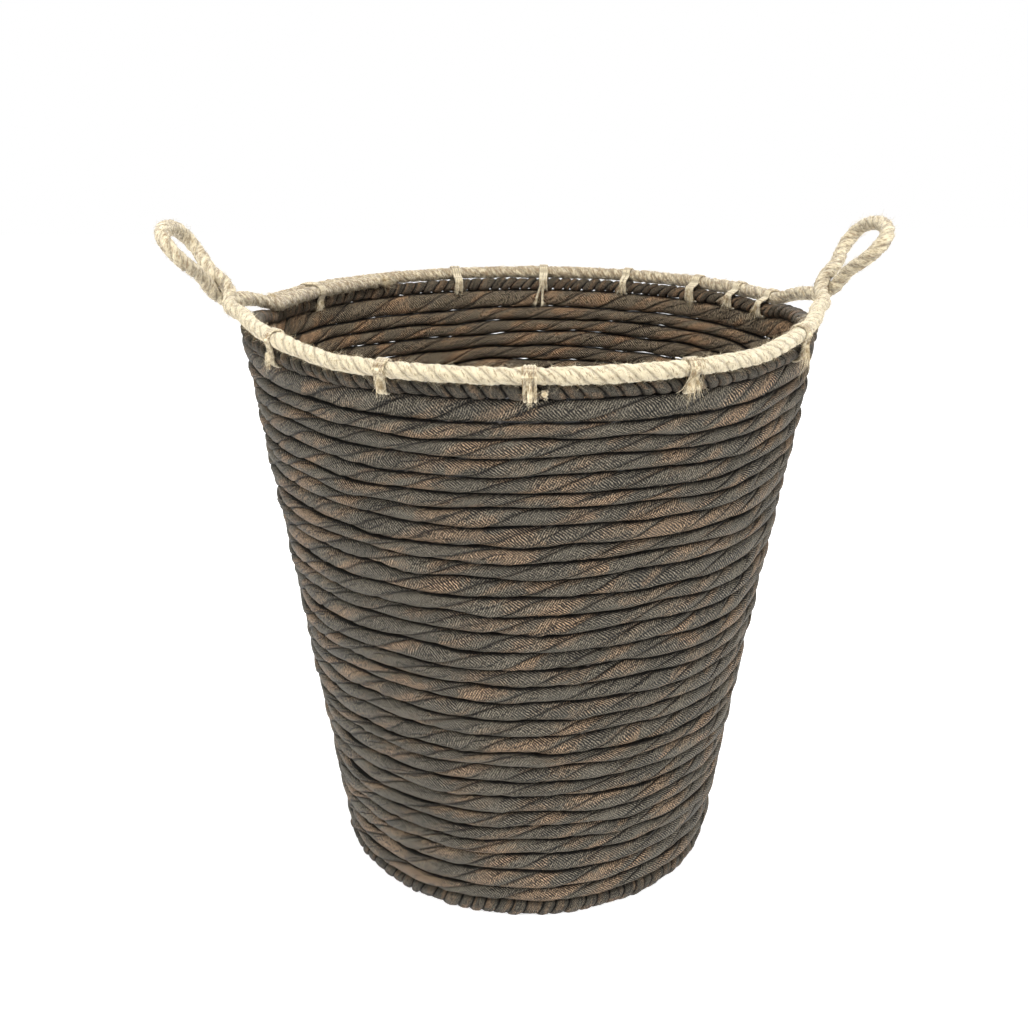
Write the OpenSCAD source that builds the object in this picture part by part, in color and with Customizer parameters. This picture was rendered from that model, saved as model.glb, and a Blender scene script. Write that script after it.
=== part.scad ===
// Round wicker log basket: rows of two-ply leaf rope held on a welded wire frame,
// with a wrapped rim and foot, a jute rope tied round the rim, and two rope loop handles.
// Millimetres. Origin at the centre of the base on the floor, +Z up, handles along X.

/* [Basket] */
// Outer width of the foot where it meets the floor
base_d = 279; // [240:1:320]
// Outer width of the wall at the top of the weave
mouth_d = 388; // [340:1:440]
// Height of the top of the weave
weave_top = 381.5; // [300:0.5:450]
// Number of rope rows in the wall
row_count = 30; // [20:1:32]
// Number of rope rings in the base
base_row_count = 10; // [6:1:10]

/* [Wire frame] */
// Number of upright wires
rib_count = 20; // [12:2:28]
// Thickness of the upright wires and the base star
wire_d = 3; // [2:0.5:4]
// Thickness of the rim and foot hoops
hoop_d = 4; // [3:0.5:5]

/* [Rim and foot] */
// Height of the wrapped foot
foot_h = 12.3; // [10:0.1:16]
// Height of the wrapped rim band
band_h = 8.4; // [8:0.1:12]
// Thickness of the jute rope
rope_d = 9.6; // [8:0.1:12]
// Thickness of the jute yarn in the ties
yarn_d = 2.2; // [1.5:0.1:3]

/* [Handles] */
// Distance of each handle's neck from the basket's axis
neck_r = 202.6; // [200:0.1:206]
// Rise of the rope at a handle's neck
neck_rise = 10; // [8:0.5:14]
// Length of a handle loop from its neck to its tip
loop_l = 62.6; // [55:0.1:80]
// Width of a handle loop between the rope's centres
loop_w = 58; // [50:1:70]
// Outward lean of the handles from upright, degrees
lean = 39; // [0:1:80]

/* [Hidden] */
clearance = 0.2;
row_gap = 0.3;
slope = (mouth_d - base_d) / 2 / weave_top;
slant = atan(slope);
row_pitch = (weave_top - foot_h) / row_count;
row_d = row_pitch / cos(slant) - row_gap;
wall_t = row_d;
hoop_z = 5.6;
star_z = hoop_z + hoop_d / 2 + wire_d / 2 - row_gap;
spoke_count = rib_count / 2;
// Welded plate that joins the base wires
hub_d = 22;
hub_t = 2;
inner_cheek_h = star_z - wire_d / 2 - clearance;
base_pitch = (base_d / 2 + slope * hoop_z - wall_t - row_gap) / base_row_count;
band_z = weave_top + row_gap;
band_top = band_z + band_h;
rim_hoop_z = band_z + band_h / 2 + 0.6;
rope_r = rope_d / 2;
rope_z = band_top + rope_r + clearance;
rim_r = mouth_d / 2 - 1;
tail_r = rim_r - rope_d - clearance;
// The rope rises to a handle over these angles on the front and the back, and spreads over the second
front_run = 50;
back_run = 14;
// The tail is the rope's first end, laid inside the last one: angles from the front
tail_start = 217;
tail_end = 253;
// Angles of the ties from the front, turning towards +X
tie_angles = [-56, -29, -4, 23.5, 55, 106, 118, 131, 150.5, 172, 194.5, 237.5];
// Half the gap between the rope's two legs at a neck
leg_half = 5.1;
// Free space between a leg and the fixed rope, along the hinge axis
neck_gap = 1.7;
round_n = 48;
ring_n = 120;
rope_sides = 10;
yarn_sides = 6;

function two_digits(k) = str(k < 10 ? "0" : "", k);
function row_name(k) = str("weave_row_", two_digits(k));
function base_name(k) = str("base_row_", two_digits(k));

// Radius of the middle of the wall at a height
function wall_r(z) = base_d / 2 + slope * z - wall_t / 2;
// How far along its rise the rope is, 0 on the rim and 1 at a neck
function rise(off, run) = off >= run ? 0 : 1 - pow(off / run, 2);
// Angle from the front to the nearest handle, and the side of it
function off_handle(a) = abs(abs(a > 180 ? a - 360 : a) - 90);
function lift(a) = rise(off_handle(a), cos(a) > 0 ? front_run : back_run);
function rim_point(a, r = rim_r) =
    let (q = r + (neck_r - r) * rise(off_handle(a), back_run))
    [q * sin(a), -q * cos(a), rope_z + neck_rise * lift(a)];

function unit(v) = v / norm(v);
function heading(path, i, closed) =
    let (n = len(path), a = closed ? (i + n - 1) % n : max(i - 1, 0))
    let (b = closed ? (i + 1) % n : min(i + 1, n - 1))
    unit(path[b] - path[a]);
function ring_points(p, t, ref, r, sides) =
    let (u = unit(cross(ref, t)), v = cross(t, u))
    [for (k = [0:sides - 1]) p + r * (cos(360 * k / sides) * u + sin(360 * k / sides) * v)];
function wall_faces(n, sides, closed) =
    [for (i = [0:n - (closed ? 1 : 2)]) for (k = [0:sides - 1])
        let (j = (i + 1) % n, m = (k + 1) % sides)
        [i * sides + k, j * sides + k, j * sides + m, i * sides + m]];

// A round tube along a path; ref is a direction that the path never runs along
module tube(path, r, sides, ref, closed = false) {
    n = len(path);
    caps = closed ? [] : [
        [for (k = [0:sides - 1]) k],
        [for (k = [sides - 1:-1:0]) (n - 1) * sides + k]];
    points = [for (i = [0:n - 1])
        each ring_points(path[i], heading(path, i, closed), ref, r, sides)];
    polyhedron(points, concat(wall_faces(n, sides, closed), caps), convexity = 8);
}

module hoop(r, z, d) {
    rotate_extrude($fn = ring_n) translate([r, z]) circle(d = d, $fn = round_n);
}

module rim_hoop() {
    color("dimgray") hoop(wall_r(rim_hoop_z), rim_hoop_z, hoop_d);
}

module foot_hoop() {
    color("dimgray") hoop(wall_r(hoop_z), hoop_z, hoop_d);
}

// Wires welded to a small plate at the centre and onto the foot hoop
module base_star() {
    color("dimgray") {
        translate([0, 0, star_z - hub_t / 2]) cylinder(h = hub_t, d = hub_d, $fn = round_n);
        for (k = [0:spoke_count - 1])
            rotate([0, 0, k * 360 / spoke_count])
                translate([hub_d / 3, 0, star_z]) rotate([0, 90, 0])
                    cylinder(h = wall_r(hoop_z) - hub_d / 3, d = wire_d, $fn = round_n);
    }
}

module upright_wires() {
    wire_l = (rim_hoop_z - hoop_z) / cos(slant);
    color("dimgray")
        for (k = [0:rib_count - 1])
            rotate([0, 0, (k + 0.5) * 360 / rib_count])
                translate([wall_r(hoop_z), 0, hoop_z])
                    rotate([0, slant, 0])
                        cylinder(h = wire_l, d = wire_d, $fn = round_n);
}

module base_row(k) {
    color("sienna") hoop(row_d / 2 + row_gap + (k - 1) * base_pitch, star_z, row_d);
}

module weave_row(k) {
    z = foot_h + (k - 0.5) * row_pitch;
    color("dimgrey") hoop(wall_r(z), z, row_d);
}

// A wrapped edge: a band over a hoop, open on one side for the wires
module wrap(z, h, mid_r, hoop_at, corner, slot_up, cheek) {
    channel_w = wire_d + 2 * clearance + slope * h;
    rotate_extrude($fn = ring_n) difference() {
        translate([mid_r - wall_t / 2, z]) {
            translate([corner, 0]) square([wall_t - 2 * corner, h]);
            translate([0, corner]) square([wall_t, h - 2 * corner]);
            for (x = [corner, wall_t - corner], y = [corner, h - corner])
                translate([x, y]) circle(r = corner, $fn = round_n);
        }
        translate([mid_r, hoop_at]) circle(d = hoop_d + 2 * clearance, $fn = round_n);
        translate([mid_r - channel_w / 2, slot_up ? hoop_at : z - 1])
            square([channel_w, slot_up ? h : hoop_at - z + 1]);
        translate([mid_r - wall_t, slot_up ? z + cheek : z - h])
            square([wall_t, h]);
    }
}

module foot_wrap() {
    color("saddlebrown")
        wrap(0, foot_h - row_gap, wall_r(hoop_z), hoop_z, 2.5, true, inner_cheek_h);
}

module rim_wrap() {
    color("saddlebrown")
        wrap(band_z, band_h, wall_r(rim_hoop_z), rim_hoop_z, 2, false, 0);
}

// Angle of the rope's end beside a neck, from the handle's own direction
neck_off = asin((leg_half + rope_r + neck_gap) / neck_r);

module rim_rope_front() {
    steps = 44;
    from = -90 + neck_off;
    path = [for (i = [0:steps]) rim_point(from - 2 * from * i / steps)];
    color("wheat") tube(path, rope_r, rope_sides, [0, 0, 1]);
}

module rim_rope_back() {
    steps = 42;
    from = 90 + neck_off;
    path = [for (i = [0:steps]) rim_point(from + (tail_end - from) * i / steps)];
    color("wheat") tube(path, rope_r, rope_sides, [0, 0, 1]);
}

// The first end of the rope lies on the inside of the last end, up to the left neck
module rim_rope_tail() {
    steps = 18;
    to = 270 - neck_off;
    path = [for (i = [0:steps]) rim_point(tail_start + (to - tail_start) * i / steps, tail_r)];
    color("wheat") tube(path, rope_r, rope_sides, [0, 0, 1]);
}

// One turn of yarn round the rim wrap and the rope at an angle
function tie_turn(a) =
    let (p = rim_point(a), r = norm([p.x, p.y]), w = rope_r + yarn_d / 2, z0 = band_z - 0.2)
    let (inner = a > tail_start && a < tail_end ? tail_r : r)
    let (out_r = wall_r(band_z) + wall_t / 2 + 0.6, in_r = wall_r(band_z) - wall_t / 2 - 0.6)
    [[r, p.z + w], [r + 0.7 * w, p.z + 0.7 * w], [r + w, p.z], [r + 0.7 * w, p.z - 0.7 * w],
     [out_r + 0.8, band_top - 2], [out_r, band_z + 1.5], [out_r - 2, z0],
     [in_r + 2, z0], [in_r, band_z + 1.5], [in_r - 0.8, band_top - 2],
     [min(in_r, inner - 0.8 * w), rope_z - 0.6 * w], [inner - w, p.z],
     [inner - 0.7 * w, p.z + 0.7 * w], [inner, p.z + w]];

module rim_ties() {
    color("khaki")
        for (a = tie_angles, side = [-1, 1])
            rotate([0, 0, a + side * 0.36])
                tube([for (q = tie_turn(a)) [0, -q[0], q[1]]], yarn_d / 2, yarn_sides,
                     [1, 0, 0], closed = true);
}

// A loop of rope in the plane of its lean, from one leg at the neck round to the other
function loop_point(t) =
    let (swell = (loop_w / 2 - 2.4) / 0.573)
    [-(leg_half * cos(t / 2) + swell * sin(t) * pow(sin(t / 2), 3)), loop_l / 2 * (1 - cos(t))];

module handle(side) {
    steps = 44;
    first = 8;
    turns = [0, each [for (i = [0:steps]) first + (360 - 2 * first) * i / steps], 360];
    path = [for (t = turns) let (q = loop_point(t))
        [side * q[1] * sin(lean), q[0], q[1] * cos(lean)]];
    normal = [cos(lean), 0, -side * sin(lean)];
    color("burlywood") translate([side * neck_r, 0, rope_z + neck_rise])
        tube(path, rope_r, rope_sides, normal);
}

rim_hoop();
foot_hoop();
base_star();
upright_wires();
for (k = [1:base_row_count]) base_row(k);
for (k = [1:row_count]) weave_row(k);
foot_wrap();
rim_wrap();
rim_rope_front();
rim_rope_back();
rim_rope_tail();
rim_ties();
handle(-1);  // left_handle
handle(1);  // right_handle
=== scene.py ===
import math

import bpy
import numpy as np
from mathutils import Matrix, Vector


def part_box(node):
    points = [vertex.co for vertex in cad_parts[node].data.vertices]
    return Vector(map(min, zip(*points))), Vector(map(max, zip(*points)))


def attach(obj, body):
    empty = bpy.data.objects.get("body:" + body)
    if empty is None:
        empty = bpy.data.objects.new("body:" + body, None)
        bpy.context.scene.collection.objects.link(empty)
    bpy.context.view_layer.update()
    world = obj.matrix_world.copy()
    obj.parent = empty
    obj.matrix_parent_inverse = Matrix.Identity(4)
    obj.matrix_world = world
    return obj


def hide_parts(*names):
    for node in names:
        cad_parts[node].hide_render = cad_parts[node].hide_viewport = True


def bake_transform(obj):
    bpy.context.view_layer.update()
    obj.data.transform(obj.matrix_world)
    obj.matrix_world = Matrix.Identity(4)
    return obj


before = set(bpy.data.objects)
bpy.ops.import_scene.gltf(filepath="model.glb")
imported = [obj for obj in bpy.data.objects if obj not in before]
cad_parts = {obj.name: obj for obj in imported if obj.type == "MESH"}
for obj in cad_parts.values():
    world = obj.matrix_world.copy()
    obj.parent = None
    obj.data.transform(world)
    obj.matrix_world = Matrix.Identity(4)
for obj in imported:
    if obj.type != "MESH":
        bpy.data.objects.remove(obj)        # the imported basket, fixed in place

mm = 0.001
turn = 2 * math.pi
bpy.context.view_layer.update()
print("basket loaded:", len(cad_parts), "nodes")

cameraSet = {
    "place": (-0.0609, -0.8194, 0.5419),
    "tiltDown": 19.7355,   # degrees below level
    "turned": -3.54,       # degrees to the right of the basket's own front
    "lens": 41.657,
}

studio = {
    "skySeen": 1.0,             # how bright the empty studio looks
    "skyLight": 0.36,           # and how much light it gives
    "floorHalf": 4.0,
    "floorTone": 0.80,
    "floorGlow": 0.74,
    "sidePlace": (1.25, -0.75, 0.75),
    "sideSize": 0.7,
    "sidePower": 12.5,
    "topPlace": (0.0, -0.50, 1.5),
    "topSize": 0.6,
    "topPower": 24.0,
    "backPlace": (0.3, 1.4, 0.9),
    "backPower": 13.0,
}


# Sets a node's own sockets
def setSockets(node, **values):
    for key, value in values.items():
        node.inputs[key.replace("_", " ")].default_value = value


def clearSelection():
    bpy.ops.object.select_all(action="DESELECT")


def makeCamera():
    c = cameraSet
    bpy.ops.object.camera_add(
        location=c["place"],
        rotation=(math.radians(90 - c["tiltDown"]), 0, math.radians(c["turned"])))
    eye = bpy.context.object
    eye.name = "viewCamera"
    eye.data.lens = c["lens"]
    bpy.context.scene.camera = eye


def makeLight(name, place, size, power):
    bpy.ops.object.light_add(type="AREA", location=place)
    lamp = bpy.context.object
    lamp.name = name
    lamp.data.shape = "DISK"
    lamp.data.size = size
    lamp.data.energy = power
    aim = Vector((0, 0, 0.25)) - Vector(place)
    lamp.rotation_euler = aim.to_track_quat("-Z", "Y").to_euler()


def makeStudio():
    s = studio
    bpy.context.scene.view_settings.view_transform = "Standard"
    world = bpy.data.worlds.new("paleStudio")
    world.use_nodes = True
    sky = world.node_tree.nodes["Background"]
    seen = world.node_tree.nodes.new("ShaderNodeLightPath")
    level = world.node_tree.nodes.new("ShaderNodeMapRange")
    setSockets(sky, Color=(1, 1, 1, 1))
    setSockets(level, To_Min=s["skyLight"], To_Max=s["skySeen"])
    links = world.node_tree.links
    links.new(seen.outputs["Is Camera Ray"], level.inputs["Value"])
    links.new(level.outputs[0], sky.inputs["Strength"])
    bpy.context.scene.world = world
    x, y, z = s["sidePlace"]
    makeLight("leftSoftbox", (-x, y, z), s["sideSize"], s["sidePower"])
    makeLight("rightSoftbox", (x, y, z), s["sideSize"], s["sidePower"])
    makeLight("topSoftbox", s["topPlace"], s["topSize"], s["topPower"])
    makeLight("backSoftbox", s["backPlace"], s["sideSize"], s["backPower"])
    clearSelection()
    bpy.ops.mesh.primitive_plane_add(size=2 * s["floorHalf"], location=(0, 0, -0.2 * mm))
    floor = bpy.context.object
    floor.name = "studioFloor"
    paper = bpy.data.materials.new("floorPaper")
    paper.use_nodes = True
    skin = paper.node_tree.nodes["Principled BSDF"]
    setSockets(skin, Base_Color=(s["floorTone"],) * 3 + (1,), Roughness=0.9,
               Emission_Color=(1, 1, 1, 1), Emission_Strength=s["floorGlow"])
    floor.data.materials.append(paper)


makeCamera()
makeStudio()
print("camera and studio ready")


# Node helpers: a feed is a socket to link or a value to set; in0, in1 name inputs by number
def put(tree, kind, settings=None, **feeds):
    made = tree.nodes.new(kind)
    for key, value in (settings or {}).items():
        setattr(made, key, value)
    for key, value in feeds.items():
        known = key.startswith("in") and key[2:].isdigit()
        socket = made.inputs[int(key[2:])] if known else made.inputs[key.replace("_", " ")]
        if isinstance(value, bpy.types.NodeSocket):
            tree.links.new(value, socket)
        else:
            socket.default_value = value
    return made


def calc(tree, operation, *values):
    feeds = {f"in{k}": value for k, value in enumerate(values)}
    return put(tree, "ShaderNodeMath", {"operation": operation}, **feeds).outputs[0]


def times(tree, first, second):
    return calc(tree, "MULTIPLY", first, second)


def timesPlus(tree, first, second, third):
    return calc(tree, "MULTIPLY_ADD", first, second, third)


def span(tree, value, low, high, toLow=0.0, toHigh=1.0):
    made = put(tree, "ShaderNodeMapRange", {"interpolation_type": "SMOOTHSTEP"}, Value=value)
    for key, number in zip(("From Min", "From Max", "To Min", "To Max"), (low, high, toLow, toHigh)):
        made.inputs[key].default_value = number
    return made.outputs[0]


def join(tree, x, y, z=0.0):
    return put(tree, "ShaderNodeCombineXYZ", None, X=x, Y=y, Z=z).outputs[0]


def noise(tree, vector, scale=1.0, detail=2.0, rough=0.5):
    made = put(tree, "ShaderNodeTexNoise", None, Vector=vector, Scale=scale, Detail=detail)
    made.inputs["Roughness"].default_value = rough
    return made.outputs[0]


def blendValue(tree, amount, first, second):
    made = put(tree, "ShaderNodeMix", {"data_type": "FLOAT"}, in0=amount)
    tree.links.new(first, made.inputs[2])
    tree.links.new(second, made.inputs[3])
    return made.outputs[0]


def blendColour(tree, amount, first, second, kind="MIX"):
    made = put(tree, "ShaderNodeMix", {"data_type": "RGBA", "blend_type": kind})
    for socket, value in ((made.inputs[0], amount), (made.inputs[6], first), (made.inputs[7], second)):
        if isinstance(value, bpy.types.NodeSocket):
            tree.links.new(value, socket)
        elif socket.type == "RGBA":
            socket.default_value = tuple(value) + (1,)
        else:
            socket.default_value = value
    return made.outputs[2]


floatKind = "NodeSocketFloat"
vectorKind = "NodeSocketVector"


def newGroup(name, ins, outs):
    group = bpy.data.node_groups.new(name, "ShaderNodeTree")
    for label, kind, value in ins:
        socket = group.interface.new_socket(label, in_out="INPUT", socket_type=kind)
        if value is not None:
            socket.default_value = value
    for label in outs:
        group.interface.new_socket(label, in_out="OUTPUT", socket_type=floatKind)
    return group, group.nodes.new("NodeGroupInput").outputs, group.nodes.new("NodeGroupOutput").inputs


# Widths of one leaf on the flat map, in metres
wallStrip = 0.0175
bandStrip = 0.0400
ribSets = ((0.50, 1.0), (-1.35, 0.72))      # slant and coarseness of the two sets of ribs


# Leaf surface on a flat map in metres: x runs along the strip and y across it
def makeLeafGroup():
    group, given, result = newGroup(
        "leafSurface",
        [("Map", vectorKind, None), ("Strip Width", floatKind, wallStrip),
         ("Rib Pitch", floatKind, 0.00160), ("Ribbed", floatKind, 0.5)],
        ["Tone", "Warmth", "Ridge", "Gap", "Height", "EdgeShade"])
    split = put(group, "ShaderNodeSeparateXYZ", None, Vector=given["Map"]).outputs
    strip = calc(group, "DIVIDE", split[1], given["Strip Width"])
    number = calc(group, "FLOOR", strip)
    across = calc(group, "FRACT", strip)
    # each leaf has its own tone along the strip, with an uneven end
    ragged = noise(group, given["Map"], 190.0, 3.0)
    slide = timesPlus(group, ragged, 0.035, split[0])
    leafVector = join(group, times(group, slide, 17.0), times(group, number, 3.7))
    tone = span(group, noise(group, leafVector, 1.0, 3.0), 0.36, 0.64)
    warmVector = join(group, timesPlus(group, slide, 21.0, 40.0),
                      timesPlus(group, split[1], 60.0, times(group, number, 5.9)))
    warmth = span(group, noise(group, warmVector, 1.0, 3.0), 0.46, 0.66)
    # two sets of slanting ribs, which cross in places and leave small cells; the material paints shade
    # between the ribs
    wobble = times(group, noise(group, given["Map"], 330.0, 3.0), 7.0)
    steps = calc(group, "DIVIDE", turn, given["Rib Pitch"])
    ribs = []
    for slant, coarse in ribSets:
        leaned = timesPlus(group, split[1], slant, split[0])
        phase = timesPlus(group, leaned, times(group, steps, coarse), wobble)
        ribs.append(span(group, calc(group, "SINE", phase), -0.45, 0.85))
    swapVector = join(group, times(group, slide, 45.0),
                      timesPlus(group, number, 9.1, times(group, split[1], 120.0)))
    swap = span(group, noise(group, swapVector, 1.0, 2.0), 0.40, 0.60)
    both = calc(group, "MAXIMUM", times(group, ribs[0], 0.55), ribs[1])
    crossed = blendValue(group, swap, ribs[0], both)
    broken = span(group, noise(group, given["Map"], 620.0, 2.0), 0.30, 0.58, 0.25, 1.0)
    cells = times(group, crossed, broken)
    # where the ribs show, and long fibres where they don't
    patchVector = join(group, times(group, slide, 42.0),
                       timesPlus(group, number, 7.3, times(group, split[1], 70.0)))
    patch = noise(group, patchVector, 1.0, 3.0)
    ribbed = span(group, timesPlus(group, given["Ribbed"], 0.2, patch), 0.38, 0.60, 0.34, 1.0)
    fibreVector = join(group, times(group, split[0], 75.0), times(group, split[1], 1150.0))
    fibre = noise(group, fibreVector, 1.0, 4.0, 0.62)
    ridge = times(group, cells, ribbed)
    gap = times(group, ribbed, calc(group, "SUBTRACT", 1.0, cells))
    # painted shade at a leaf's edges, in the creases where the plies or wraps meet
    edgeNear = calc(group, "MINIMUM", across, calc(group, "SUBTRACT", 1.0, across))
    edgeShade = span(group, edgeNear, 0.0, 0.085, 1.0, 0.0)
    # folds along a leaf, which come and go
    foldVector = join(group, times(group, split[0], 24.0), times(group, number, 3.1))
    foldPlace = timesPlus(group, noise(group, foldVector, 1.0, 2.0), 2.6, times(group, across, 2.2))
    foldSide = calc(group, "SUBTRACT", calc(group, "FRACT", foldPlace), 0.5)
    foldLine = span(group, calc(group, "ABSOLUTE", foldSide), 0.0, 0.085, 1.0, 0.0)
    fold = times(group, foldLine, span(group, patch, 0.38, 0.60))
    height = timesPlus(group, fibre, 0.7, calc(group, "SUBTRACT", ridge, fold))
    # the fold lines get painted shade too
    edgeShade = calc(group, "MAXIMUM", edgeShade, times(group, fold, 0.72))
    for socket, end in zip((tone, warmth, ridge, gap, height, edgeShade), result):
        group.links.new(socket, end)
    return group


# Twisted plant fibre on a flat map in metres: x along the rope, y round it
def makeJuteGroup():
    group, given, result = newGroup(
        "juteFibres",
        [("Map", vectorKind, None), ("Lean", floatKind, -0.6), ("Fineness", floatKind, 1.0)],
        ["Streak", "Patch", "Height"])
    split = put(group, "ShaderNodeSeparateXYZ", None, Vector=given["Map"]).outputs
    leaned = timesPlus(group, split[0], given["Lean"], split[1])
    fine = join(group, times(group, split[0], 150.0), times(group, leaned, 1500.0))
    scale = {"operation": "SCALE"}
    scaled = put(group, "ShaderNodeVectorMath", scale, in0=fine, Scale=given["Fineness"]).outputs[0]
    streak = noise(group, scaled, 1.0, 4.0, 0.68)
    patch = noise(group, given["Map"], 360.0, 4.0, 0.70)
    tuft = noise(group, given["Map"], 700.0, 3.0, 0.6)
    height = timesPlus(group, tuft, 0.9, streak)
    for socket, end in zip((streak, patch, height), result):
        group.links.new(socket, end)
    return group


leafGroup = makeLeafGroup()
juteGroup = makeJuteGroup()


def newMaterial(name):
    material = bpy.data.materials.new(name)
    material.use_nodes = True
    tree = material.node_tree
    return material, tree, tree.nodes["Principled BSDF"]


def useGroup(tree, group, **feeds):
    return put(tree, "ShaderNodeGroup", {"node_tree": group}, **feeds).outputs


def pointValue(tree, name):
    return put(tree, "ShaderNodeAttribute", {"attribute_name": name}).outputs["Fac"]


def tint(tree, base, colour):
    return blendColour(tree, 1.0, base, colour, "MULTIPLY")


def finishSkin(tree, skin, colour, rough, height, depth, strength=1.0):
    bump = put(tree, "ShaderNodeBump", None, Height=height, Strength=strength, Distance=depth)
    tree.links.new(colour, skin.inputs["Base Color"])
    tree.links.new(rough, skin.inputs["Roughness"])
    tree.links.new(bump.outputs[0], skin.inputs["Normal"])


leafLook = {
    "darkLeaf": (0.044, 0.041, 0.033),
    "paleLeaf": (0.112, 0.101, 0.078),
    "warmLeaf": (0.155, 0.102, 0.064),
    "ridgeHighlightGrey": (0.350, 0.305, 0.228),
    "ridgeHighlightTan": (0.760, 0.520, 0.315),
    "gapShade": (0.12, 0.10, 0.085),
    "creaseShade": (0.030, 0.024, 0.019),
    "insideTint": (1.25, 1.10, 0.95),
    "bumpDepth": 0.0011,
    "specular": 0.22,
}


def makeLeafMaterial(name, stripWidth, ribbed, darker):
    look = leafLook
    material, tree, skin = newMaterial(name)
    flat = put(tree, "ShaderNodeUVMap", {"uv_map": "leafMap"}).outputs[0]
    leaf = useGroup(tree, leafGroup, Map=flat, Strip_Width=stripWidth, Ribbed=ribbed)
    base = blendColour(tree, leaf["Tone"], look["darkLeaf"], look["paleLeaf"])
    base = blendColour(tree, times(tree, leaf["Warmth"], 0.7), base, look["warmLeaf"])
    warm = times(tree, leaf["Warmth"], 0.85)
    # painted highlight on the ribs, grey or tan by the leaf's own warmth
    ridge = blendColour(tree, warm, look["ridgeHighlightGrey"], look["ridgeHighlightTan"])
    base = blendColour(tree, times(tree, leaf["Ridge"], 0.66), base, ridge)
    # painted shade in the gaps between the ribs
    base = blendColour(tree, times(tree, leaf["Gap"], 0.92), base,
                       tint(tree, base, look["gapShade"]))
    # colour follows the leaf's height: fibre grain, with painted highlight on the ribs and painted shade
    # in the folds
    fibre = span(tree, leaf["Height"], 0.15, 0.75, 0.60, 1.22)
    base = tint(tree, base, join(tree, fibre, fibre, fibre))
    # painted light: brightens the inner face, with a warmer tint
    base = blendColour(tree, pointValue(tree, "inside"), base, look["insideTint"], "MULTIPLY")
    frayed = noise(tree, flat, 380.0, 3.0, 0.65)
    # painted shade: darker in the grooves between rows, at the joins of the band's wraps, at the creases
    # between plies and along folds
    crease = span(tree, timesPlus(tree, frayed, 0.9, pointValue(tree, "crease")), 0.62, 1.20)
    shade = calc(tree, "MAXIMUM", times(tree, leaf["EdgeShade"], 0.8), crease)
    base = blendColour(tree, times(tree, shade, 0.93), base,
                       tint(tree, base, look["creaseShade"]))
    base = tint(tree, base, (darker, darker, darker))
    rough = span(tree, leaf["Height"], 0.2, 1.3, 0.55, 0.82)
    setSockets(skin, Specular_IOR_Level=look["specular"])
    finishSkin(tree, skin, base, rough, leaf["Height"], look["bumpDepth"])
    return material


juteLook = {
    "paleFibre": (0.68, 0.590, 0.400),
    "tanFibre": (0.250, 0.172, 0.090),
    "grooveShade": (0.17, 0.120, 0.068),
    "bumpDepth": 0.0012,
    "lean": -0.55,
    "specular": 0.12,
    "sheen": 0.35,
    "sheenRough": 0.6,
}


def makeJuteMaterial(name, fineness, strands, paintedLight):
    look = juteLook
    material, tree, skin = newMaterial(name)
    flat = put(tree, "ShaderNodeUVMap", {"uv_map": "ropeMap"}).outputs[0]
    jute = useGroup(tree, juteGroup, Map=flat, Lean=look["lean"], Fineness=fineness)
    mixed = timesPlus(tree, jute["Patch"], 1.5, jute["Streak"])
    share = span(tree, calc(tree, "ADD", mixed, 0.45 * paintedLight), 1.06, 1.40)
    base = blendColour(tree, share, look["tanFibre"], look["paleFibre"])
    if strands:
        # painted shade in the grooves between the rope's strands
        groove = times(tree, pointValue(tree, "groove"), 0.55)
        base = blendColour(tree, groove, base, look["grooveShade"])
    rough = span(tree, jute["Height"], 0.4, 1.3, 0.95, 0.78)
    setSockets(skin, Specular_IOR_Level=look["specular"], Sheen_Weight=look["sheen"],
               Sheen_Roughness=look["sheenRough"])
    finishSkin(tree, skin, base, rough, jute["Height"], look["bumpDepth"] / fineness)
    return material


hairLook = {
    "darkFibre": (0.30, 0.22, 0.12),
    "paleFibre": (0.78, 0.69, 0.50),
    "specular": 0.15,
}
wireLook = {
    "brightWire": (0.11, 0.10, 0.09),
    "dullWire": (0.045, 0.032, 0.024),
    "metal": 0.6,
}


def makeHairMaterial():
    look = hairLook
    material, tree, skin = newMaterial("juteHair")
    place = put(tree, "ShaderNodeTexCoord").outputs["Object"]
    vary = noise(tree, place, 300.0, 2.0)
    base = blendColour(tree, span(tree, vary, 0.35, 0.65), look["darkFibre"], look["paleFibre"])
    rough = span(tree, vary, 0.3, 0.7, 0.9, 0.75)
    setSockets(skin, Specular_IOR_Level=look["specular"])
    finishSkin(tree, skin, base, rough, vary, 0.0001)
    return material


def makeWireMaterial():
    look = wireLook
    material, tree, skin = newMaterial("drawnWire")
    place = put(tree, "ShaderNodeTexCoord").outputs["Object"]
    dull = noise(tree, place, 90.0, 4.0, 0.6)
    grain = noise(tree, place, 900.0, 2.0)
    base = blendColour(tree, span(tree, dull, 0.35, 0.7), look["brightWire"], look["dullWire"])
    rough = span(tree, dull, 0.3, 0.75, 0.5, 0.85)
    setSockets(skin, Metallic=look["metal"])
    finishSkin(tree, skin, base, rough, grain, 0.0002, 0.5)
    return material


wallLeaf = makeLeafMaterial("twistedLeaf", wallStrip, 0.5, 0.88)
bandLeaf = makeLeafMaterial("edgeLeaf", bandStrip, 0.55, 0.86)
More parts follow.
